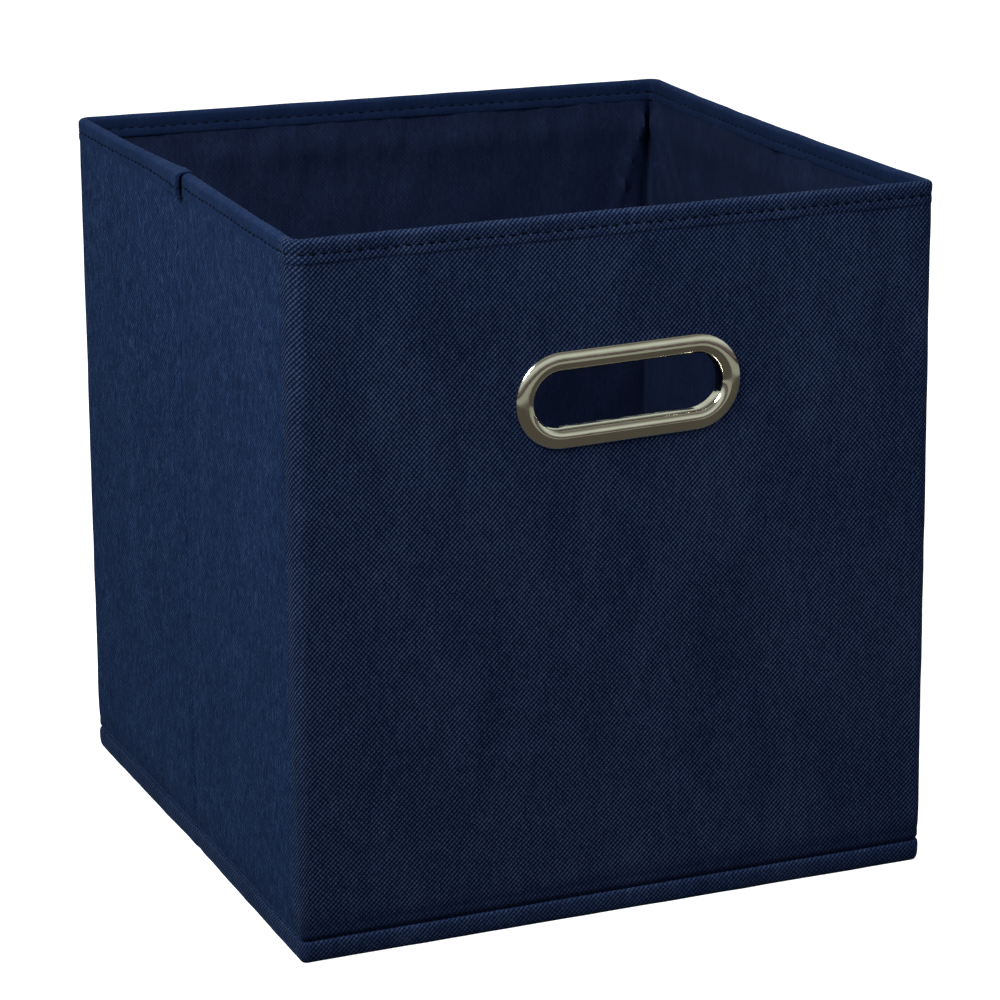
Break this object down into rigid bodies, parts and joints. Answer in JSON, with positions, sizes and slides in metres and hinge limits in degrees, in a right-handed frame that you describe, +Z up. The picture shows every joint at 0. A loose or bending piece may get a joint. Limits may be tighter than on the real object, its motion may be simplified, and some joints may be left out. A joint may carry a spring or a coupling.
{
  "type": "folding fabric storage bin",
  "caption": "Square open-top fabric storage bin with stiffened folding walls, bound rim, welted base, oval metal handle ring and a loose covered base board.",
  "frame": {"origin": "centre of the footprint at floor level", "axes": "+Z up through the open top, the front wall with the handle ring faces -Y, +X to the right seen from the front"},
  "size_m": [0.267, 0.265, 0.28],
  "materials": {
    "outer_fabric": "embossed nonwoven, dark navy",
    "lining": "thin nonwoven, darker navy",
    "hem": "folded nonwoven binding, navy",
    "welt": "folded nonwoven band, navy",
    "bottom_fabric": "nonwoven sheet, navy",
    "insert_cover": "thin nonwoven, navy",
    "chipboard": "raw grey-brown chipboard",
    "chrome": "polished"
  },
  "bodies": {
    "front": {"bottom_fabric": "bottom_fabric", "front_board": "chipboard", "front_hem": "hem", "front_lining": "lining", "front_outer_fabric": "outer_fabric", "handle_back_ring": "chrome", "handle_ring": "chrome", "welt_back": "welt", "welt_front": "welt", "welt_left": "welt", "welt_right": "welt"},
    "left_front": {"left_front_board": "chipboard", "left_front_hem": "hem", "left_front_lining": "lining", "left_front_outer_fabric": "outer_fabric"},
    "left_rear": {"left_hem_overlap": "hem", "left_rear_board": "chipboard", "left_rear_hem": "hem", "left_rear_lining": "lining", "left_rear_outer_fabric": "outer_fabric"},
    "back": {"back_board": "chipboard", "back_hem": "hem", "back_lining": "lining", "back_outer_fabric": "outer_fabric"},
    "right_front": {"right_front_board": "chipboard", "right_front_hem": "hem", "right_front_lining": "lining", "right_front_outer_fabric": "outer_fabric"},
    "right_rear": {"right_rear_board": "chipboard", "right_rear_hem": "hem", "right_rear_lining": "lining", "right_rear_outer_fabric": "outer_fabric"},
    "insert": {"insert_board": "chipboard", "insert_cover_bottom": "insert_cover", "insert_cover_top": "insert_cover"}
  },
  "joints": [
    {"name": "insert_lift", "type": "slide", "parent": "front", "child": "insert", "axis": [0, 0, 1], "range_m": [0, 0.3]},
    {"name": "left_front_fold", "type": "hinge", "parent": "front", "child": "left_front", "pos_m": [-0.1258, -0.1248, 0.14], "axis": [0, 0, -1], "range_deg": [0, 86]},
    {"name": "left_crease_fold", "type": "hinge", "parent": "left_front", "child": "left_rear", "pos_m": [-0.1323, 0, 0.14], "axis": [0, 0, 1], "range_deg": [0, 172]},
    {"name": "back_fold", "type": "hinge", "parent": "left_rear", "child": "back", "pos_m": [-0.1258, 0.1248, 0.14], "axis": [0, 0, -1], "range_deg": [0, 86]},
    {"name": "right_front_fold", "type": "hinge", "parent": "front", "child": "right_front", "pos_m": [0.1258, -0.1248, 0.14], "axis": [0, 0, 1], "range_deg": [0, 86]},
    {"name": "right_crease_fold", "type": "hinge", "parent": "right_front", "child": "right_rear", "pos_m": [0.1323, 0, 0.14], "axis": [0, 0, -1], "range_deg": [0, 172]}
  ],
  "couplings": [
    {"joint": "left_crease_fold", "follows": "left_front_fold", "ratio": 2},
    {"joint": "back_fold", "follows": "left_front_fold", "ratio": 1},
    {"joint": "right_front_fold", "follows": "left_front_fold", "ratio": 1},
    {"joint": "right_crease_fold", "follows": "left_front_fold", "ratio": 2}
  ]
}
